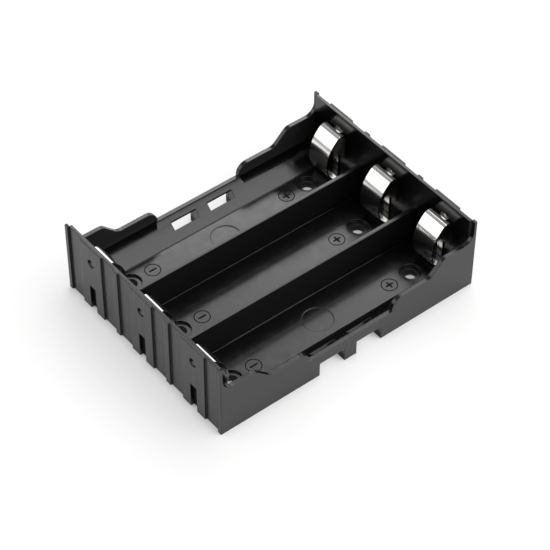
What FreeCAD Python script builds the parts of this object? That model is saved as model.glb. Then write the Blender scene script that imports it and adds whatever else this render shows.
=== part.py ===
"""Cylindrical cell holder: an open moulded tray with three side-by-side bays, and a pair
of looped spring-strip contacts in each bay, one on either end wall.

Frame: origin at the middle of the underside, +X along the cells towards the positive end,
+Y across the bays, +Z up. Sizes are in millimetres.
"""

import FreeCAD, Part
import math
import os

# Tray, overall
LENGTH = 77.0           # outside, over the raised panels of both end walls
WIDTH = 60.0            # outside, across the bays
HEIGHT = 21.0           # end walls
SIDE_WALL = 1.15
END_WALL = 1.3          # through a raised panel

# Bays
BAYS = 3
OUTER_BAY = 10.2        # from the middle of an outer bay to the tray's outside
DIVIDER = 1.1
DIVIDER_TOP = 11.4
DIVIDER_FOOT = 0.4      # rounding where a divider meets the floor
DIVIDER_EDGE = 0.25     # rounding along its top
FLOOR_TOP = 2.6
FLOOR_THICKNESS = 1.5

# Side walls: tall at the ends, stepped down to a low bar in the middle
SHOULDER_TOP = 14.6
MIDDLE_TOP = 10.5
LOW_BAR_TOP = 7.0
POST = 0.7              # width left at full height at each end
RAMP_OUT = 28.5         # ramp between shoulder and middle level, distances from the centre
RAMP_IN = 24.2
LOW_BAR_HALF = 12.6
POST_RADIUS = 3.0
RAMP_RADIUS = 2.5
DROP_RADIUS = 3.0

# Concave slope along the outer edge of each outer bay, up to the low bar
SLOPE_RUN = 6.45        # width that it takes, with the side wall
EDGE_STEP = 0.2         # small kerb where it leaves the flat floor
SLOPE_RADIUS = 9.0
CORNER_RADIUS = 6.0     # rounds the slope into the tall parts of the side wall
CORNER_REACH = 1.25     # how far from the wall's inner face that rounding meets the slope
CORNER_START = 0.4      # where that rounding begins on the wall, past the drop to the low bar
CORNER_FLARE = 2.8      # how far its end slants away from there

# Two windows through each slope, with cut-outs below the low bar
WINDOW_NEAR = 1.8       # along X, from the centre
WINDOW_FAR = 9.4
WINDOW_INNER = 3.85     # across, from the outside of the side wall
WINDOW_OUTER = 2.15
CUTOUT_HEIGHT = 4.0
CUTOUT_RISE = 1.1       # how much the low bar's underside rises inwards

# Outside of the end walls
PANEL_HALF = 4.2        # raised panel in line with each bay
STRIP_HALF = 0.8        # raised strip in line with each divider
RELIEF = 0.5            # how far panels, strips and corners stand proud
SIGHT_HOLE = 2.4        # diameter
SIGHT_HOLE_Z = 15.8
NOTCH_HEIGHT = 7.8

# Fixing holes in the floor, each in a shallow round recess
SCREW_X = 27.6
SCREW_HOLE = 3.2
RECESS = 5.5
RECESS_DEPTH = 0.6
BOSS = 7.4

# Hollow underside
RIB = 1.1
SHELL = 1.2
END_SOLID = 2.9         # solid band inside each outer end face
KERB_RIB = 1.0          # rib below the kerb
DIMPLE = 7.8            # shallow round dimple in each outer bay
DIMPLE_DEPTH = 0.15
DIMPLE_OFFSET = 2.0     # towards the middle from the centre of the bay

# Spring-strip contacts
STRIP_WIDTH = 6.8
STRIP_THICKNESS = 0.4
LEG_FREE = 14.9         # where the back leg leaves the wall
CREST_RADIUS = 1.8
BULGE = 6.25            # from the wall to the front of the loop
BULGE_RADIUS = 9.3
LEAF_LEAN = 42.0        # degrees from upright, above the bulge
LEAF_TUCK = 30.0        # degrees from upright, below it
FOOT_LENGTH = 1.6
FOOT_RADIUS = 1.0
FOOT_GAP = 0.2
TAIL_WIDTH = 1.8
TAIL_TOP = 8.6
TAIL_END = 0.5          # above the underside
TAIL_SIDE_GAP = 0.3     # between the tail and the sides of its notch
TAIL_FRONT_GAP = 0.1    # between the tail and the floor's edge

HALF_LENGTH = LENGTH / 2
HALF_WIDTH = WIDTH / 2
END_INNER = HALF_LENGTH - END_WALL
SIDE_INNER = HALF_WIDTH - SIDE_WALL
BAY_PITCH = (WIDTH - 2 * OUTER_BAY) / (BAYS - 1)
FLAT_EDGE = HALF_WIDTH - SLOPE_RUN
FLOOR_UNDER = FLOOR_TOP - FLOOR_THICKNESS
PAST = 1.0              # how far cutting shapes run past what they cut


def bay_centres():
    return [BAY_PITCH * (i - (BAYS - 1) / 2) for i in range(BAYS)]


def divider_centres():
    return [(a + b) / 2 for a, b in zip(bay_centres(), bay_centres()[1:])]


def box(x, y, z):
    """Box from three (low, high) pairs."""
    corner = FreeCAD.Vector(x[0], y[0], z[0])
    return Part.makeBox(x[1] - x[0], y[1] - y[0], z[1] - z[0], corner)


def rod(diameter, start, end):
    axis = end - start
    return Part.makeCylinder(diameter / 2, axis.Length, start, axis)


def vec(x, y, z):
    return FreeCAD.Vector(x, y, z)


def mirrored(shape, normal):
    return shape.mirror(vec(0, 0, 0), normal)


def fillet_points(before, corner, after, radius):
    """Start, middle and end of the arc that rounds one corner of a path."""
    to_before = (before - corner).normalize()
    to_after = (after - corner).normalize()
    half = to_before.getAngle(to_after) / 2
    reach = radius / math.tan(half)
    bisector = (to_before + to_after).normalize()
    centre = corner + bisector * (radius / math.sin(half))
    return corner + to_before * reach, centre - bisector * radius, corner + to_after * reach


def rounded_edges(points, radii):
    """Edges of an open path. Each inner corner is rounded, or left sharp at a radius of 0."""
    edges = []
    last = points[0]
    for before, corner, after, radius in zip(points, points[1:], points[2:], radii):
        if radius == 0:
            edges.append(Part.makeLine(last, corner))
            last = corner
            continue
        start, middle, end = fillet_points(before, corner, after, radius)
        edges.append(Part.makeLine(last, start))
        edges.append(Part.Arc(start, middle, end).toShape())
        last = end
    edges.append(Part.makeLine(last, points[-1]))
    return edges


def extruded(edges, direction):
    wire = Part.Wire(Part.__sortEdges__(edges))
    return Part.Face(wire).extrude(direction)


def polygon(points):
    return [Part.makeLine(a, b) for a, b in zip(points, points[1:] + points[:1])]


def slope_centre():
    """Centre of the slope's arc in the YZ plane, above the +Y bay."""
    kerb = vec(0, FLAT_EDGE, FLOOR_TOP + EDGE_STEP)
    wall = vec(0, SIDE_INNER, LOW_BAR_TOP)
    chord = wall - kerb
    rise = math.sqrt(SLOPE_RADIUS ** 2 - (chord.Length / 2) ** 2)
    return (kerb + wall) * 0.5 + vec(0, -chord.z, chord.y).normalize() * rise


def arc_point(centre, radius, y):
    """Point on the lower half of a circle in the YZ plane."""
    return vec(0, y, centre.z - math.sqrt(radius ** 2 - (y - centre.y) ** 2))


def lower_arc(centre, radius, y_start, y_end):
    ys = (y_start, (y_start + y_end) / 2, y_end)
    return Part.Arc(*[arc_point(centre, radius, y) for y in ys]).toShape()


def above(edges, z):
    """Edges of a section, closed by upright sides and a base at height z."""
    start = edges[0].firstVertex().Point
    end = edges[-1].lastVertex().Point
    near = vec(0, start.y, z)
    far = vec(0, end.y, z)
    return edges + [Part.makeLine(start, near), Part.makeLine(near, far), Part.makeLine(far, end)]


def run_along(edges, length):
    """A section in the YZ plane, extruded along X about the middle."""
    solid = extruded(edges, vec(length, 0, 0))
    solid.translate(vec(-length / 2, 0, 0))
    return solid


def slope():
    """Solid under the concave slope, from the kerb of the +Y bay up to the low bar."""
    arc = lower_arc(slope_centre(), SLOPE_RADIUS, FLAT_EDGE, SIDE_INNER)
    return run_along(above([arc], 0), 2 * END_INNER)


def slope_corners():
    """The slope's two ends, where a smaller arc carries it on into the tall side wall.

    The smaller circle touches the wall, and meets the slope at a very blunt angle."""
    large = slope_centre()
    meet = arc_point(large, SLOPE_RADIUS, SIDE_INNER - CORNER_REACH)
    small = vec(0, SIDE_INNER - CORNER_RADIUS, 0)
    small.z = meet.z + math.sqrt(CORNER_RADIUS ** 2 - (meet.y - small.y) ** 2)
    arcs = [
        lower_arc(large, SLOPE_RADIUS, FLAT_EDGE, meet.y),
        lower_arc(small, CORNER_RADIUS, meet.y, SIDE_INNER),
    ]
    whole = run_along(above(arcs, 0), 2 * END_INNER)
    begin = LOW_BAR_HALF + CORNER_START
    slanted = [
        vec(begin, SIDE_INNER, 0),
        vec(END_INNER, SIDE_INNER, 0),
        vec(END_INNER, FLAT_EDGE, 0),
        vec(begin + CORNER_FLARE, FLAT_EDGE, 0),
    ]
    end = whole.common(extruded(polygon(slanted), vec(0, 0, HEIGHT)))
    return [end, mirrored(end, vec(1, 0, 0))]


def side_wall():
    """The +Y wall, whose top steps down from the end posts to the low bar."""
    post = HALF_LENGTH - POST
    half = [
        vec(HALF_LENGTH, SIDE_INNER, HEIGHT),
        vec(post, SIDE_INNER, HEIGHT),
        vec(post, SIDE_INNER, SHOULDER_TOP),
        vec(RAMP_OUT, SIDE_INNER, SHOULDER_TOP),
        vec(RAMP_IN, SIDE_INNER, MIDDLE_TOP),
        vec(LOW_BAR_HALF, SIDE_INNER, MIDDLE_TOP),
        vec(LOW_BAR_HALF, SIDE_INNER, LOW_BAR_TOP),
        vec(0, SIDE_INNER, LOW_BAR_TOP),
    ]
    other = [vec(-p.x, p.y, p.z) for p in reversed(half[:-1])]
    radii = [0, POST_RADIUS, RAMP_RADIUS, RAMP_RADIUS, DROP_RADIUS, 0]
    top = rounded_edges(half[:-1] + other, radii + radii[::-1])
    base = [vec(-HALF_LENGTH, SIDE_INNER, 0), vec(HALF_LENGTH, SIDE_INNER, 0)]
    edges = top + [
        Part.makeLine(other[-1], base[0]),
        Part.makeLine(base[0], base[1]),
        Part.makeLine(base[1], half[0]),
    ]
    return extruded(edges, vec(0, SIDE_WALL, 0))


def side_windows():
    """Chutes through the +Y slope that open below the low bar."""
    inner = HALF_WIDTH - WINDOW_INNER
    outer = HALF_WIDTH - WINDOW_OUTER
    outside = HALF_WIDTH + PAST
    slant = CUTOUT_RISE / WINDOW_OUTER
    section = [
        vec(WINDOW_NEAR, inner, -PAST),
        vec(WINDOW_NEAR, outside, -PAST),
        vec(WINDOW_NEAR, outside, CUTOUT_HEIGHT - slant * PAST),
        vec(WINDOW_NEAR, outer, CUTOUT_HEIGHT + CUTOUT_RISE),
        vec(WINDOW_NEAR, outer, LOW_BAR_TOP + PAST),
        vec(WINDOW_NEAR, inner, LOW_BAR_TOP + PAST),
    ]
    chute = extruded(polygon(section), vec(WINDOW_FAR - WINDOW_NEAR, 0, 0))
    return [chute, mirrored(chute, vec(1, 0, 0))]


def slope_pockets():
    """Hollows under the +Y slope, beside the windows, that leave a shell of even thickness."""
    y = (FLAT_EDGE + KERB_RIB, SIDE_INNER)
    roof = lower_arc(slope_centre(), SLOPE_RADIUS + SHELL, *y)
    section = above([roof], -PAST)
    pockets = []
    spans = [(WINDOW_FAR + RIB, SCREW_X - RIB / 2), (SCREW_X + RIB / 2, HALF_LENGTH - END_SOLID)]
    for low, high in spans:
        hollow = run_along(section, high - low)
        hollow.translate(vec((low + high) / 2, 0, 0))
        pockets += [hollow, mirrored(hollow, vec(1, 0, 0))]
    return pockets


def side():
    """Everything of the tray outside the flat floor, on the +Y side."""
    solid = side_wall().fuse([slope()] + slope_corners())
    return solid.cut(side_windows() + slope_pockets())


def floor_slab():
    x = (-END_INNER, END_INNER)
    slab = box(x, (-FLAT_EDGE, FLAT_EDGE), (0, FLOOR_TOP))
    edges = [-FLAT_EDGE] + divider_centres() + [FLAT_EDGE]
    x_end = HALF_LENGTH - END_SOLID
    spans = [(-x_end, -SCREW_X), (-SCREW_X, 0), (0, SCREW_X), (SCREW_X, x_end)]
    pockets = []
    for y_low, y_high in zip(edges, edges[1:]):
        y = (y_low + RIB / 2, y_high - RIB / 2)
        for low, high in spans:
            pockets.append(box((low + RIB / 2, high - RIB / 2), y, (-PAST, FLOOR_UNDER)))
    bosses = [rod(BOSS, vec(x, y, 0), vec(x, y, FLOOR_TOP)) for x, y in screw_places()]
    return slab.cut(pockets).fuse(bosses)


def screw_places():
    return [(x, y) for y in bay_centres() for x in (-SCREW_X, SCREW_X)]


def screw_cut(x, y):
    """Clearance hole in a shallow recess for the screw's head."""
    top = vec(x, y, FLOOR_TOP + PAST)
    shank = rod(SCREW_HOLE, vec(x, y, -PAST), top)
    head = rod(RECESS, vec(x, y, FLOOR_TOP - RECESS_DEPTH), top)
    return shank.fuse(head)


def dimples():
    """Shallow round dimples in the floors of the two outer bays."""
    low = FLOOR_TOP - DIMPLE_DEPTH
    places = (bay_centres()[0] + DIMPLE_OFFSET, bay_centres()[-1] - DIMPLE_OFFSET)
    return [rod(DIMPLE, vec(0, y, low), vec(0, y, FLOOR_TOP + PAST)) for y in places]


def divider(y):
    """Low wall between two bays, rounded at its foot and along its top."""
    half = DIVIDER / 2
    spread = half + 2 * DIVIDER_FOOT
    root = (FLOOR_UNDER + FLOOR_TOP) / 2
    left = [
        vec(0, y - spread, root),
        vec(0, y - spread, FLOOR_TOP),
        vec(0, y - half, FLOOR_TOP),
        vec(0, y - half, DIVIDER_TOP),
    ]
    right = [vec(0, 2 * y - p.y, p.z) for p in reversed(left)]
    radii = [0, DIVIDER_FOOT, DIVIDER_EDGE]
    edges = rounded_edges(left + right, radii + radii[::-1])
    edges.append(Part.makeLine(right[-1], left[0]))
    return run_along(edges, 2 * END_INNER)


def end_wall():
    """The +X wall between the side walls, with its raised panels and strips."""
    wall = box((END_INNER, HALF_LENGTH - RELIEF), (-SIDE_INNER, SIDE_INNER), (0, HEIGHT))
    raised = [(y, PANEL_HALF) for y in bay_centres()]
    raised += [(y, STRIP_HALF) for y in divider_centres()]
    proud = (END_INNER, HALF_LENGTH)
    return wall.fuse([box(proud, (y - half, y + half), (0, HEIGHT)) for y, half in raised])


def end_cuts():
    """Sight hole and tail notch at the +X end of each bay."""
    outside = HALF_LENGTH + PAST
    notch_x = (END_INNER - STRIP_THICKNESS - TAIL_FRONT_GAP, outside)
    half = TAIL_WIDTH / 2 + TAIL_SIDE_GAP
    cuts = []
    for y in bay_centres():
        start = vec(END_INNER - PAST, y, SIGHT_HOLE_Z)
        cuts.append(rod(SIGHT_HOLE, start, vec(outside, y, SIGHT_HOLE_Z)))
        cuts.append(box(notch_x, (y - half, y + half), (-PAST, NOTCH_HEIGHT)))
    return cuts


def with_mirror(shapes, normal):
    return shapes + [mirrored(shape, normal) for shape in shapes]


def housing():
    """The moulded tray."""
    along = vec(1, 0, 0)
    across = vec(0, 1, 0)
    walls = with_mirror([end_wall()], along) + with_mirror([side()], across)
    solid = floor_slab().fuse(walls + [divider(y) for y in divider_centres()])
    cuts = [screw_cut(x, y) for x, y in screw_places()] + dimples()
    return solid.cut(cuts + with_mirror(end_cuts(), along)).removeSplitter()


def loop_path():
    """Centre line of a contact in the XZ plane, as corners and the radii that round them.

    X is measured inward from the wall's inner face."""
    line = STRIP_THICKNESS / 2
    lean = math.radians(LEAF_LEAN)
    tuck = math.radians(LEAF_TUCK)
    crest_half = (math.pi - lean) / 2
    crest_z = LEG_FREE + (CREST_RADIUS - line) * math.tan(crest_half)
    crest = vec(line, 0, crest_z)
    down = vec(math.sin(lean), 0, -math.cos(lean))
    under = vec(-math.sin(tuck), 0, -math.cos(tuck))
    radius = BULGE_RADIUS - line
    half_turn = (lean + tuck) / 2
    beyond = radius * (1 / math.cos(half_turn) - 1) * math.cos((lean - tuck) / 2)
    nose = crest + down * ((BULGE - line + beyond - line) / down.x)
    foot_z = FLOOR_TOP + FOOT_GAP + line
    heel = nose + under * ((nose.z - foot_z) / -under.z)
    toe = heel + vec(-FOOT_LENGTH, 0, 0)
    start = vec(line, 0, TAIL_END)
    return [start, crest, nose, heel, toe], [CREST_RADIUS - line, radius, FOOT_RADIUS]


def side_line(points, shift):
    """The path moved sideways by shift, to its left as it runs."""
    normals = []
    for a, b in zip(points, points[1:]):
        run = (b - a).normalize()
        normals.append(vec(-run.z, 0, run.x))
    moved = [points[0] + normals[0] * shift]
    for corner, first, second in zip(points[1:], normals, normals[1:]):
        bisector = (first + second).normalize()
        moved.append(corner + bisector * (shift / bisector.dot(first)))
    moved.append(points[-1] + normals[-1] * shift)
    return moved


def strip_section():
    """Edges of the bent strip's section, seen from the side."""
    points, radii = loop_path()
    sides = []
    for shift in (STRIP_THICKNESS / 2, -STRIP_THICKNESS / 2):
        sides.append(side_line(points, shift))
    outlines = []
    for line, sign in zip(sides, (1, -1)):
        turned = [r + sign * turn(a, b, c) * STRIP_THICKNESS / 2
                  for a, b, c, r in zip(points, points[1:], points[2:], radii)]
        outlines.append(rounded_edges(line, turned))
    ends = [Part.makeLine(sides[0][0], sides[1][0]), Part.makeLine(sides[0][-1], sides[1][-1])]
    return outlines[0] + outlines[1] + ends


def turn(a, b, c):
    """Minus one where the path turns left at b, seen along -Y, and one where it turns right."""
    first, second = b - a, c - b
    return -1 if first.x * second.z - first.z * second.x > 0 else 1


def contact(y, side_sign):
    """One spring strip: back leg on the end wall, crest, bulging leaf and tucked foot."""
    half = STRIP_WIDTH / 2
    strip = extruded(strip_section(), vec(0, STRIP_WIDTH, 0))
    strip.translate(vec(0, -half, 0))
    beside = (STRIP_WIDTH - TAIL_WIDTH) / 2
    for low in (-half, half - beside):
        trim = box((-PAST, STRIP_THICKNESS + TAIL_FRONT_GAP), (low, low + beside), (0, TAIL_TOP))
        strip = strip.cut(trim)
    if side_sign > 0:
        strip = mirrored(strip, vec(1, 0, 0))
    strip.translate(vec(side_sign * END_INNER, y, 0))
    return strip


def export(name, shape):
    shape.exportStep(os.path.join("parts", name + ".step"))


def main():
    os.makedirs("parts", exist_ok=True)
    export("housing", housing())
    for number, y in enumerate(bay_centres(), start=1):
        export("positive_contact_%d" % number, contact(y, 1))
        export("negative_contact_%d" % number, contact(y, -1))


main()
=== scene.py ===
# %% [markdown]
# # A cylindrical cell holder
# The object is an open tray of black moulded plastic with three bays. Each bay has a looped
# spring strip of bright metal at both ends. The solids come in as a fixed frame, and this lesson
# gives them their finish, adds the signs in the floor and thin webs in the notches, and sets up
# a small studio.

import bmesh
import bpy
import numpy as np
from mathutils import Matrix, Vector


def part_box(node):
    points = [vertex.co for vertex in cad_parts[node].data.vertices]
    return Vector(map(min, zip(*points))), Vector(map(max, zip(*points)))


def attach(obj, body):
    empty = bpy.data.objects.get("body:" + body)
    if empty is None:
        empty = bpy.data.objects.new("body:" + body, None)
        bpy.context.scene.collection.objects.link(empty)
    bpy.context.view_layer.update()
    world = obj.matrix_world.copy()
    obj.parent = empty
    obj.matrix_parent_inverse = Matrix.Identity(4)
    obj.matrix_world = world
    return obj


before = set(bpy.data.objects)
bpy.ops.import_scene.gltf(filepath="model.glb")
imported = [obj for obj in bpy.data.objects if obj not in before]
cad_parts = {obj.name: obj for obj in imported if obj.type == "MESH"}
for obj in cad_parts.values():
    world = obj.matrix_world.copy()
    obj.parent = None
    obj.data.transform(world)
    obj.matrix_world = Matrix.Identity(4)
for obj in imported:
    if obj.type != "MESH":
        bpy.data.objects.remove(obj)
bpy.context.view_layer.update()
MM = 0.001
print("nodes:", sorted(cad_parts))

# %% [markdown]
# ## Places that the finish needs
# The signs stand on the floors of the bays, in line with the contacts. So the middle of each
# bay is read from the box of its contact, and only the floor's height and the distances from
# the middle are written here, in millimetres.

# %% Bays and floor height
FLOOR_TOP = 2.6
CONTACTS = sorted(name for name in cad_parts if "contact" in name)
POSITIVE = [name for name in CONTACTS if name.startswith("positive")]


def middle_y(node):
    """The Y of the middle of a node's box, in millimetres."""
    low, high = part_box(node)
    return (low.y + high.y) / 2 / MM


BAY_CENTRES = [middle_y(name) for name in POSITIVE]
print("bay centres:", [round(y, 2) for y in BAY_CENTRES])

# %% [markdown]
# ## Colours and nodes
# Colours are picked as sRGB hex values, as a paint program shows them, while the renderer works
# in linear light. One function turns the one into the other. A second small function adds a
# node with its settings and its links, so that a material reads as a short list.

# %% Colour and node helpers
def srgb(code):
    """Linear RGBA of an sRGB hex colour such as '#202124'."""
    channels = np.array([int(code[i:i + 2], 16) for i in (1, 3, 5)]) / 255
    linear = np.where(channels <= 0.04045, channels / 12.92, ((channels + 0.055) / 1.055) ** 2.4)
    return (*linear.tolist(), 1.0)


def add_node(tree, kind, inputs=None, **settings):
    """Adds a node. Each input is a value, or an output socket of another node to link."""
    node = tree.nodes.new(kind)
    for name, value in settings.items():
        setattr(node, name, value)
    for key, value in (inputs or {}).items():
        if isinstance(value, bpy.types.NodeSocket):
            tree.links.new(value, node.inputs[key])
        else:
            node.inputs[key].default_value = value
    return node


def new_material(name):
    """An empty node material and its tree."""
    material = bpy.data.materials.new(name)
    material.use_nodes = True
    tree = material.node_tree
    tree.nodes.clear()
    return material, tree


# %% [markdown]
# ## Black moulded ABS
# The tray is taken to be injection moulded in black ABS, as such trays often are. The colour is
# nearly black, and most of the grey that the eye sees is reflected light, so the finish is told
# by how each part mirrors. In the photograph the floors and the slopes mirror the light, and the
# outside of the end wall in view is satin, with what look like faint upright lines. The faces of
# the dividers stay nearly black there, and the inner faces of the side walls mirror nothing
# sharp. No grain can be made out on either of them: the dull finish that they get here is fitted
# to those tones. The slight waves on the polished faces are too fine for the photograph, and are
# what such plastic often has. What lies below the floor and inside the walls isn't seen, and its
# dull finish is a guess.
#
# Sharp solid edges would look cut from card, so the shader rounds them by a quarter of a
# millimetre, the way an edge leaves the mould. The solids have a rounding at the foot of each
# divider too, which catches more light than the photograph shows. So in a low band there the
# shader turns the normal towards the divider's face. That changes the look and not the shape.

# %% Moulded ABS
ABS_BLACK = "#080809"
ABS_IOR = 1.54
FULL_MIRROR = 0.5        # the specular level that the IOR alone gives
DIVIDER_MIRROR = 0.2     # specular level of the dividers' faces, fitted to the photograph
POLISHED = (0.17, 0.23)  # roughness, from the smoothest spots to the dullest
SATIN = (0.30, 0.42)     # roughness of the outside of the end walls
MATTE = 0.75             # roughness of the dull parts
NOISE_RANGE = (0.3, 0.7)  # nearly all values of a noise texture

# Sizes, in millimetres.
EDGE_ROUNDING = 0.25
ORANGE_PEEL = 2.5        # the slight waves on a polished face
TOOL_LINE = 0.5          # the upright lines on the outside of the end walls
RELIEF_DEPTH = 0.02      # of the waves and of the lines

# Places, in millimetres from the middle of the tray or up from its base.
END_FACE = 37.95         # beyond this X lies the outside of an end wall
END_INSIDE = 35.5        # beyond this X lie the end walls, panels and all
SIDE_FACE = 29.9         # beyond this Y lies the outside of a side wall
SIDE_INNER = 28.85       # Y of the inner face of a side wall
INNER_BAND = 0.15        # how far from there the face still counts
SLOPE_START = 23.0       # Y at which the slopes of the outer bays begin
RECESS_FLOOR = 1.98      # just below the round recesses in the floor
DIVIDER_TOP = 11.4
FOOT_BAND = 0.45         # height of the band at the foot of a divider
CLEAR_OF_FLOOR = 0.005   # how far the band stays off the floor itself
FOOT_TURN = 0.75         # part by which an upright normal is cut in the band


def object_position(tree):
    """Object coordinates and their X, Y and Z, in metres."""
    coords = add_node(tree, "ShaderNodeTexCoord").outputs["Object"]
    split = add_node(tree, "ShaderNodeSeparateXYZ", {"Vector": coords})
    return coords, split.outputs


def sharp_foot(tree, up, beside, normal):
    """The normal, with its upright part taken down by FOOT_TURN in a low band beside the
    dividers. The rounded foot then looks as if it had hardly any rounding."""
    half = FOOT_BAND / 2
    low = add_node(tree, "ShaderNodeMath",
                   {0: up, 1: (FLOOR_TOP + half) * MM, 2: (half - CLEAR_OF_FLOOR) * MM},
                   operation="COMPARE")
    inside = add_node(tree, "ShaderNodeMath", {0: beside, 1: SLOPE_START * MM},
                      operation="LESS_THAN")
    band = add_node(tree, "ShaderNodeMath", {0: low.outputs[0], 1: inside.outputs[0]},
                    operation="MULTIPLY")
    level = add_node(tree, "ShaderNodeMath", {0: band.outputs[0], 1: -FOOT_TURN, 2: 1.0},
                     operation="MULTIPLY_ADD")
    scale = add_node(tree, "ShaderNodeCombineXYZ", {0: 1.0, 1: 1.0, 2: level.outputs[0]})
    turned = add_node(tree, "ShaderNodeVectorMath", {0: normal, 1: scale.outputs[0]},
                      operation="MULTIPLY")
    return add_node(tree, "ShaderNodeVectorMath", {0: turned.outputs[0]},
                    operation="NORMALIZE").outputs[0]


def hidden_side(tree, up, beside, outside):
    """One below the floor and inside the walls, else zero."""
    low = add_node(tree, "ShaderNodeMath", {0: up, 1: RECESS_FLOOR * MM}, operation="LESS_THAN")
    inner = add_node(tree, "ShaderNodeMath", {0: beside, 1: SIDE_FACE * MM}, operation="LESS_THAN")
    across = add_node(tree, "ShaderNodeMath", {0: low.outputs[0], 1: inner.outputs[0]},
                      operation="MULTIPLY")
    return add_node(tree, "ShaderNodeMath", {0: across.outputs[0], 1: outside},
                    operation="SUBTRACT", use_clamp=True).outputs[0]


def divider_face(tree, up, along, beside):
    """One on the upright faces of the dividers, between the foot and the top, else zero."""
    low, high = FLOOR_TOP + FOOT_BAND, DIVIDER_TOP - EDGE_ROUNDING
    level = add_node(tree, "ShaderNodeMath",
                     {0: up, 1: (high + low) / 2 * MM, 2: (high - low) / 2 * MM},
                     operation="COMPARE")
    inside = add_node(tree, "ShaderNodeMath", {0: beside, 1: SLOPE_START * MM},
                      operation="LESS_THAN")
    between = add_node(tree, "ShaderNodeMath", {0: along, 1: END_INSIDE * MM},
                       operation="LESS_THAN")
    both = add_node(tree, "ShaderNodeMath", {0: level.outputs[0], 1: inside.outputs[0]},
                    operation="MULTIPLY")
    return add_node(tree, "ShaderNodeMath", {0: both.outputs[0], 1: between.outputs[0]},
                    operation="MULTIPLY").outputs[0]


def moulded_abs():
    """Black plastic whose relief and roughness change with the place on the tray."""
    material, tree = new_material("black moulded ABS")
    coords, place = object_position(tree)
    along = add_node(tree, "ShaderNodeMath", {0: place["X"]}, operation="ABSOLUTE").outputs[0]
    beside = add_node(tree, "ShaderNodeMath", {0: place["Y"]}, operation="ABSOLUTE").outputs[0]
    up = place["Z"]
    outside = add_node(tree, "ShaderNodeMath", {0: along, 1: END_FACE * MM},
                       operation="GREATER_THAN").outputs[0]

    # The relief is waves on a polished face and upright lines on the outside of an end wall.
    waves = add_node(tree, "ShaderNodeTexNoise",
                     {"Vector": coords, "Scale": 1 / (ORANGE_PEEL * MM), "Detail": 2.0})
    stretch = add_node(tree, "ShaderNodeMapping", {"Vector": coords, "Scale": (1.0, 1.0, 0.03)})
    lines = add_node(tree, "ShaderNodeTexNoise",
                     {"Vector": stretch.outputs[0], "Scale": 1 / (TOOL_LINE * MM), "Detail": 3.0})
    relief = add_node(tree, "ShaderNodeMix", {0: outside, 2: waves.outputs[0], 3: lines.outputs[0]})
    rounded = add_node(tree, "ShaderNodeBevel", {"Radius": EDGE_ROUNDING * MM}, samples=6)
    bump = add_node(tree, "ShaderNodeBump",
                    {"Height": relief.outputs[0], "Distance": RELIEF_DEPTH * MM, "Strength": 0.5,
                     "Normal": sharp_foot(tree, up, beside, rounded.outputs[0])})

    # The roughness is polished or satin, and matte on the dull parts.
    polished = add_node(tree, "ShaderNodeMapRange",
                        {"Value": waves.outputs[0],
                         "From Min": NOISE_RANGE[0], "From Max": NOISE_RANGE[1],
                         "To Min": POLISHED[0], "To Max": POLISHED[1]})
    satin = add_node(tree, "ShaderNodeMapRange",
                     {"Value": lines.outputs[0],
                      "From Min": NOISE_RANGE[0], "From Max": NOISE_RANGE[1],
                      "To Min": SATIN[0], "To Max": SATIN[1]})
    shown = add_node(tree, "ShaderNodeMix",
                     {0: outside, 2: polished.outputs[0], 3: satin.outputs[0]})
    divider = divider_face(tree, up, along, beside)
    side = add_node(tree, "ShaderNodeMath", {0: beside, 1: SIDE_INNER * MM, 2: INNER_BAND * MM},
                    operation="COMPARE")
    upright = add_node(tree, "ShaderNodeMath", {0: divider, 1: side.outputs[0]},
                       operation="MAXIMUM")
    dull = add_node(tree, "ShaderNodeMath",
                    {0: hidden_side(tree, up, beside, outside), 1: upright.outputs[0]},
                    operation="MAXIMUM")
    roughness = add_node(tree, "ShaderNodeMix",
                         {0: dull.outputs[0], 2: shown.outputs[0], 3: MATTE})
    mirror = add_node(tree, "ShaderNodeMath",
                      {0: divider, 1: DIVIDER_MIRROR - FULL_MIRROR, 2: FULL_MIRROR},
                      operation="MULTIPLY_ADD")

    shader = add_node(tree, "ShaderNodeBsdfPrincipled",
                      {"Base Color": srgb(ABS_BLACK), "Roughness": roughness.outputs[0],
                       "IOR": ABS_IOR, "Specular IOR Level": mirror.outputs[0],
                       "Normal": bump.outputs[0]})
    add_node(tree, "ShaderNodeOutputMaterial", {"Surface": shader.outputs[0]})
    return material


# %% [markdown]
# ## Nickel-plated spring steel
# The contacts are taken to be folded from rolled steel strip and plated with bright nickel,
# which is a little warmer than chrome. Rolling leaves very fine lines along a strip, which
# spread each reflection across it, so the roughness changes quickly across the width and hardly
# at all along the strip. The photograph is too small to show such lines.

# %% Nickel plate
NICKEL = "#f1efeb"
PLATED = (0.13, 0.18)    # roughness, between the rolling lines and on them
ROLLING_LINE = 0.15      # millimetres, as the next two
LINE_DEPTH = 0.004
STRIP_EDGE = 0.06        # rounding of the strip's edges


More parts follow.
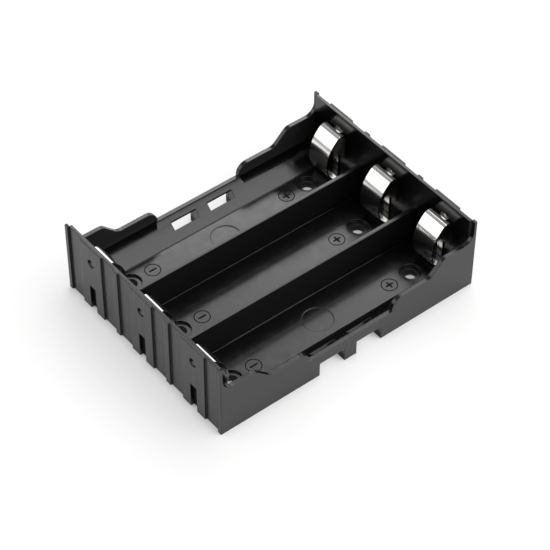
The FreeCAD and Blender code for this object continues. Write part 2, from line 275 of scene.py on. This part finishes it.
def nickel_plate():
    """Bright metal with fine lines along the strip."""
    material, tree = new_material("nickel-plated spring steel")
    coords = object_position(tree)[0]
    stretch = add_node(tree, "ShaderNodeMapping", {"Vector": coords, "Scale": (0.04, 1.0, 0.04)})
    lines = add_node(tree, "ShaderNodeTexNoise",
                     {"Vector": stretch.outputs[0], "Scale": 1 / (ROLLING_LINE * MM), "Detail": 3.0})
    roughness = add_node(tree, "ShaderNodeMapRange",
                         {"Value": lines.outputs[0],
                          "From Min": NOISE_RANGE[0], "From Max": NOISE_RANGE[1],
                          "To Min": PLATED[0], "To Max": PLATED[1]})
    rounded = add_node(tree, "ShaderNodeBevel", {"Radius": STRIP_EDGE * MM}, samples=6)
    bump = add_node(tree, "ShaderNodeBump",
                    {"Height": lines.outputs[0], "Distance": LINE_DEPTH * MM, "Strength": 0.2,
                     "Normal": rounded.outputs[0]})
    shader = add_node(tree, "ShaderNodeBsdfPrincipled",
                      {"Base Color": srgb(NICKEL), "Metallic": 1.0,
                       "Roughness": roughness.outputs[0], "Normal": bump.outputs[0]})
    add_node(tree, "ShaderNodeOutputMaterial", {"Surface": shader.outputs[0]})
    return material


# %% [markdown]
# The housing is all plastic, and each contact is plated all over, so every solid takes one
# finish.

# %% Put the finishes on the solids
def dress(node, material):
    """Gives a solid one material."""
    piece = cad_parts[node]
    piece.data.materials.clear()
    piece.data.materials.append(material)


ABS = moulded_abs()
PLATE = nickel_plate()
dress("housing", ABS)
for name in CONTACTS:
    dress(name, PLATE)
print("dressed", len(CONTACTS) + 1, "solids")

# %% [markdown]
# ## The signs in the floor
# Each bay has a minus in a circle near its negative end and a plus in a circle near its
# positive end. In the photograph they are thin dark lines, and whether they stand up or are cut
# in can't be told. Here they stand up by a hair. A ring is a torus with a low oval section. A bar
# is a superellipsoid: a box whose edges and ends are all rounded by one formula.

# %% Surfaces for the signs
SIGN_HEIGHT = 0.06
RING_WIDTH = 0.26
BAR_WIDTH = 0.5
BAR_LENGTH = 2.3
SQUARENESS = 0.5         # the power in the bars' formula: one gives an ellipsoid
SAME_SPOT = 0.0001       # millimetres: points nearer than this are one point


def grid_mesh(name, points, wrap_u, wrap_v):
    """A mesh of quads over a grid of points with shape (u, v, 3)."""
    count_u, count_v = points.shape[:2]
    index = np.arange(count_u * count_v).reshape(count_u, count_v)
    if wrap_u:
        index = np.vstack([index, index[:1]])
    if wrap_v:
        index = np.hstack([index, index[:, :1]])
    corners = (index[:-1, :-1], index[1:, :-1], index[1:, 1:], index[:-1, 1:])
    faces = np.stack([c.ravel() for c in corners], axis=1)
    mesh = bpy.data.meshes.new(name)
    mesh.from_pydata(points.reshape(-1, 3).tolist(), [], faces.tolist())
    close_poles(mesh)
    return mesh


def close_poles(mesh):
    """Joins the points of a grid that fall on one spot, as they do at a pole."""
    work = bmesh.new()
    work.from_mesh(mesh)
    bmesh.ops.remove_doubles(work, verts=work.verts, dist=SAME_SPOT * MM)
    work.to_mesh(mesh)
    work.free()
    mesh.update()


def ring_points(radius, centre):
    """Torus: a point goes round the centre while an oval section is carried with it."""
    turn = np.linspace(0, 2 * np.pi, 64, endpoint=False)[:, None]
    section = np.linspace(0, 2 * np.pi, 12, endpoint=False)[None, :]
    reach = radius + RING_WIDTH / 2 * np.cos(section)
    x = centre[0] + reach * np.cos(turn)
    y = centre[1] + reach * np.sin(turn)
    z = np.broadcast_to(centre[2] + SIGN_HEIGHT * np.sin(section), x.shape)
    return np.stack([x, y, z], axis=-1) * MM


def bar_points(centre, turned):
    """Superellipsoid: sines and cosines raised to a power below one square off an ellipsoid."""
    along = np.linspace(np.pi / 2, -np.pi / 2, 17)[:, None]
    around = np.linspace(0, 2 * np.pi, 24, endpoint=False)[None, :]

    def squared(value):
        return np.sign(value) * np.abs(value) ** SQUARENESS

    x = BAR_LENGTH / 2 * squared(np.sin(along)) * np.ones_like(around)
    y = BAR_WIDTH / 2 * squared(np.cos(along)) * squared(np.cos(around))
    z = SIGN_HEIGHT * squared(np.cos(along)) * squared(np.sin(around))
    if turned:
        x, y = -y, x
    return (np.stack([x, y, z], axis=-1) + centre) * MM


# %% [markdown]
# The signs get the same black plastic with a dull surface, which sends back hardly any of the
# light that the floor mirrors. So they read as dark lines on it. The webs share this finish.

# %% Dull plastic of the signs and the webs
SIGN_BLACK = "#0b0b0d"
SIGN_MIRROR = 0.15       # specular level, fitted to the signs' dark lines


def dull_abs():
    """The black plastic with a dull surface."""
    material, tree = new_material("dull black ABS")
    shader = add_node(tree, "ShaderNodeBsdfPrincipled",
                      {"Base Color": srgb(SIGN_BLACK), "Roughness": MATTE,
                       "IOR": ABS_IOR, "Specular IOR Level": SIGN_MIRROR})
    add_node(tree, "ShaderNodeOutputMaterial", {"Surface": shader.outputs[0]})
    return material


# %% [markdown]
# A minus is one bar along the bay. A plus is the same bar and a second one that is turned
# across it.

# %% Make the signs of every bay
SIGNS = {"minus": (-21.0, 1.95), "plus": (20.8, 2.0)}  # X of the middle, ring radius
DULL = dull_abs()


def add_piece(name, mesh, material, smooth=True):
    """A new piece on the tray's body, with the material given."""
    piece = bpy.data.objects.new(name, mesh)
    bpy.context.scene.collection.objects.link(piece)
    mesh.materials.append(material)
    mesh.polygons.foreach_set("use_smooth", np.full(len(mesh.polygons), smooth))
    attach(piece, "root")
    return piece


for number, y in enumerate(BAY_CENTRES, start=1):
    for sign, (x, radius) in SIGNS.items():
        centre = np.array([x, y, FLOOR_TOP])
        ring = grid_mesh(f"{sign}_ring_{number}", ring_points(radius, centre), True, True)
        add_piece(ring.name, ring, DULL)
        turns = (False, True) if sign == "plus" else (False,)
        for turned in turns:
            bar = grid_mesh(f"{sign}_bar_{number}_{'y' if turned else 'x'}",
                            bar_points(centre, turned), False, True)
            add_piece(bar.name, bar, DULL)
print("signs:", len(BAY_CENTRES) * len(SIGNS))

# %% [markdown]
# ## Webs in the notches
# The tail of each contact stands in a notch of the end wall. The negative end's notches look
# black in the photograph, and the positive end's aren't in view. The solids let light in beside
# the tails, so a thin plate closes each notch here. It stands just outside the tail and hides
# it. Whether the real tray has such a web isn't seen. Where the notch is open, the dull black
# plate is a dark sheet that stands in for the shade inside it, which makes it painted shade in
# solid form. A web is a flat plate, and its eight corners are all that it needs. Its place comes
# from the box of its contact.

# %% Make the webs
NOTCH_WIDTH = 2.4
NOTCH_HEIGHT = 7.8
WEB_THICKNESS = 0.3
WEB_GAP = 0.1            # between the tail and the web
WEB_FOOT = 0.1           # height of its lower edge


def plate_mesh(name, low, high):
    """A box: each corner takes the low or the high value of X, Y and Z."""
    low, high = np.minimum(low, high), np.maximum(low, high)
    pick = np.array(np.meshgrid([0, 1], [0, 1], [0, 1], indexing="ij")).reshape(3, -1).T
    corners = np.where(pick == 1, high, low) * MM
    faces = [(0, 1, 3, 2), (4, 6, 7, 5), (0, 4, 5, 1), (2, 3, 7, 6), (0, 2, 6, 4), (1, 5, 7, 3)]
    mesh = bpy.data.meshes.new(name)
    mesh.from_pydata(corners.tolist(), [], faces)
    mesh.update()
    return mesh


def add_web(contact):
    """Stands a plate in the notch, just outside a contact's tail."""
    low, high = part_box(contact)
    wall = (high.x if contact in POSITIVE else low.x) / MM
    outward = np.sign(wall)
    y = middle_y(contact)
    near = (wall + outward * WEB_GAP, y - NOTCH_WIDTH / 2, WEB_FOOT)
    far = (wall + outward * (WEB_GAP + WEB_THICKNESS), y + NOTCH_WIDTH / 2, NOTCH_HEIGHT)
    name = contact.replace("contact", "notch_web")
    add_piece(name, plate_mesh(name, np.array(near), np.array(far)), DULL, smooth=False)


for name in CONTACTS:
    add_web(name)
print("webs:", len(CONTACTS))

# %% [markdown]
# ## The studio
# The holder stands on a white paper sweep in a dim pale room, which is a plain world. The lamps
# light the paper, and the tray leaves a soft shadow on it. Where the camera sees the paper,
# directly or mirrored in the plastic, it also glows, so that the background is white. The glow
# fades where the tray comes close to the paper, by ambient occlusion: that fade is painted
# shade, which darkens the paper round and under the tray on top of the lamps' own shadow.

# %% Floor and world
PAPER = "#f7f7f6"
ROOM_LIGHT = 0.35
SWEEP_GLOW = 0.55
CLOSE_SHADOW = 2.5       # millimetres: from this far off, the tray takes nothing from the glow
SHEET_SIZE = 6.0         # metres
SHEET_GAP = 0.01         # millimetres between the sheet and the base of the tray
WHITE = "#ffffff"


def seen_directly(tree, amount):
    """The amount for camera, glossy and transmission rays, and nothing for all others."""
    path = add_node(tree, "ShaderNodeLightPath").outputs
    mirrored = add_node(tree, "ShaderNodeMath",
                        {0: path["Is Glossy Ray"], 1: path["Is Transmission Ray"]},
                        operation="MAXIMUM")
    seen = add_node(tree, "ShaderNodeMath", {0: path["Is Camera Ray"], 1: mirrored.outputs[0]},
                    operation="MAXIMUM")
    return add_node(tree, "ShaderNodeMath", {0: seen.outputs[0], 1: amount},
                    operation="MULTIPLY").outputs[0]


def white_sweep():
    """Matte paper, mixed with a white glow as far as the ray allows it; near the tray ambient
    occlusion takes the glow off, which is painted shade.
    """
    material, tree = new_material("white paper sweep")
    paper = add_node(tree, "ShaderNodeBsdfPrincipled",
                     {"Base Color": srgb(PAPER), "Roughness": 0.9, "Specular IOR Level": 0.1})
    white = add_node(tree, "ShaderNodeEmission", {"Color": srgb(WHITE), "Strength": 1.0})
    # Painted shade: ambient occlusion takes the glow off near the tray, so the paper darkens round
    # and under it.
    close = add_node(tree, "ShaderNodeAmbientOcclusion", {"Distance": CLOSE_SHADOW * MM}, samples=8)
    glow = add_node(tree, "ShaderNodeMath",
                    {0: seen_directly(tree, SWEEP_GLOW), 1: close.outputs["AO"]},
                    operation="MULTIPLY")
    both = add_node(tree, "ShaderNodeMixShader",
                    {0: glow.outputs[0], 1: paper.outputs[0], 2: white.outputs[0]})
    add_node(tree, "ShaderNodeOutputMaterial", {"Surface": both.outputs[0]})
    return material


def paper_floor():
    """A flat square sheet, a hair below the base of the tray."""
    edge = np.linspace(-SHEET_SIZE / 2, SHEET_SIZE / 2, 2)
    x, y = np.meshgrid(edge, edge, indexing="ij")
    z = np.full_like(x, -SHEET_GAP * MM)
    mesh = grid_mesh("paper", np.stack([x, y, z], axis=-1), False, False)
    floor = bpy.data.objects.new("paper", mesh)
    bpy.context.scene.collection.objects.link(floor)
    mesh.materials.append(white_sweep())


def pale_world():
    """An even light from all round."""
    world = bpy.data.worlds.new("dim pale room")
    bpy.context.scene.world = world
    world.use_nodes = True
    tree = world.node_tree
    tree.nodes.clear()
    light = add_node(tree, "ShaderNodeBackground",
                     {"Color": srgb(WHITE), "Strength": ROOM_LIGHT})
    add_node(tree, "ShaderNodeOutputWorld", {"Surface": light.outputs[0]})


paper_floor()
pale_world()
print("room light:", ROOM_LIGHT, "glow of the sweep:", SWEEP_GLOW)

# %% [markdown]
# ## Camera
# The camera's angle, distance and lens were worked out from the corners of the tray in the
# photograph.

# %% Camera
AZIMUTH = -38.93
ELEVATION = 46.06
ROLL = 0.32
TARGET = Vector((-3.26, -5.57, 10.0)) * MM
DISTANCE = 508.15 * MM
FOCAL_PIXELS = 2135.59
FRAME_PIXELS = 550
SENSOR = 36.0


def camera_axes():
    """Right, up and back of the camera, from its azimuth, elevation and roll."""
    azimuth, elevation, roll = np.radians([AZIMUTH, ELEVATION, ROLL])
    back = Vector((np.sin(azimuth) * np.cos(elevation), -np.cos(azimuth) * np.cos(elevation),
                   np.sin(elevation)))
    level = Vector((np.cos(azimuth), np.sin(azimuth), 0.0))
    upright = back.cross(level)
    right = level * np.cos(roll) + upright * np.sin(roll)
    return right, back.cross(right), back


def add_camera():
    """Puts the camera DISTANCE behind its target, turned to its axes."""
    right, up, back = camera_axes()
    lens = bpy.data.cameras.new("camera")
    lens.sensor_width = SENSOR
    lens.lens = SENSOR * FOCAL_PIXELS / FRAME_PIXELS
    lens.clip_start = 0.01
    lens.clip_end = 20.0
    camera = bpy.data.objects.new("camera", lens)
    turn = Matrix((right, up, back)).transposed().to_4x4()
    camera.matrix_world = Matrix.Translation(TARGET + back * DISTANCE) @ turn
    bpy.context.scene.collection.objects.link(camera)
    bpy.context.scene.camera = camera
    print("lens:", round(lens.lens, 1), "mm")


add_camera()

# %% [markdown]
# ## Softboxes
# Black plastic shows the shape of whatever it mirrors. A level floor sends the camera's line of
# sight up at the same angle on the far side, so a bright softbox stands there, behind the tray,
# with a wide and dimmer backdrop below it. The curved slopes mirror a fan of directions over
# the top, so a broad one hangs above. Two low ones stand to the left and in front, for the
# leaves of the contacts and the rounded edges of the walls. Each is given by the direction in
# which it stands, its width and height as angles, and its radiance. An area lamp's power is pi
# times its area times its radiance. Where the photographer's lamps stood isn't known: these are
# set so that the tones come out much as in the photograph.

# %% Softboxes
SOFTBOX_DISTANCE = 1.5
SOFTBOXES = {
    "behind": {"azimuth": 54.5, "elevation": 38.5, "wide": 18.0, "high": 16.0, "radiance": 4.1},
    "backdrop": {"azimuth": 40.0, "elevation": 14.0, "wide": 60.0, "high": 26.0, "radiance": 1.15},
    "above": {"azimuth": -18.0, "elevation": 62.0, "wide": 72.0, "high": 46.0, "radiance": 2.4},
    "left": {"azimuth": 142.0, "elevation": 27.0, "wide": 56.0, "high": 36.0, "radiance": 1.5},
    "front": {"azimuth": -63.0, "elevation": 20.0, "wide": 44.0, "high": 26.0, "radiance": 2.2},
}


def add_softbox(name, azimuth, elevation, wide, high, radiance):
    """An area lamp that faces the target from the direction given."""
    around, up = np.radians([azimuth, elevation])
    toward = Vector((np.cos(around) * np.cos(up), np.sin(around) * np.cos(up), np.sin(up)))
    lamp = bpy.data.lights.new(name, "AREA")
    lamp.shape = "RECTANGLE"
    lamp.size = 2 * SOFTBOX_DISTANCE * np.tan(np.radians(wide) / 2)
    lamp.size_y = 2 * SOFTBOX_DISTANCE * np.tan(np.radians(high) / 2)
    lamp.energy = np.pi * lamp.size * lamp.size_y * radiance
    softbox = bpy.data.objects.new(name, lamp)
    softbox.matrix_world = (Matrix.Translation(TARGET + toward * SOFTBOX_DISTANCE)
                            @ toward.to_track_quat("Z", "Y").to_matrix().to_4x4())
    bpy.context.scene.collection.objects.link(softbox)
    print(name, "softbox:", round(lamp.size, 2), "x", round(lamp.size_y, 2), "m")


for name, sizes in SOFTBOXES.items():
    add_softbox(name, **sizes)
bpy.context.scene.view_settings.view_transform = "Standard"
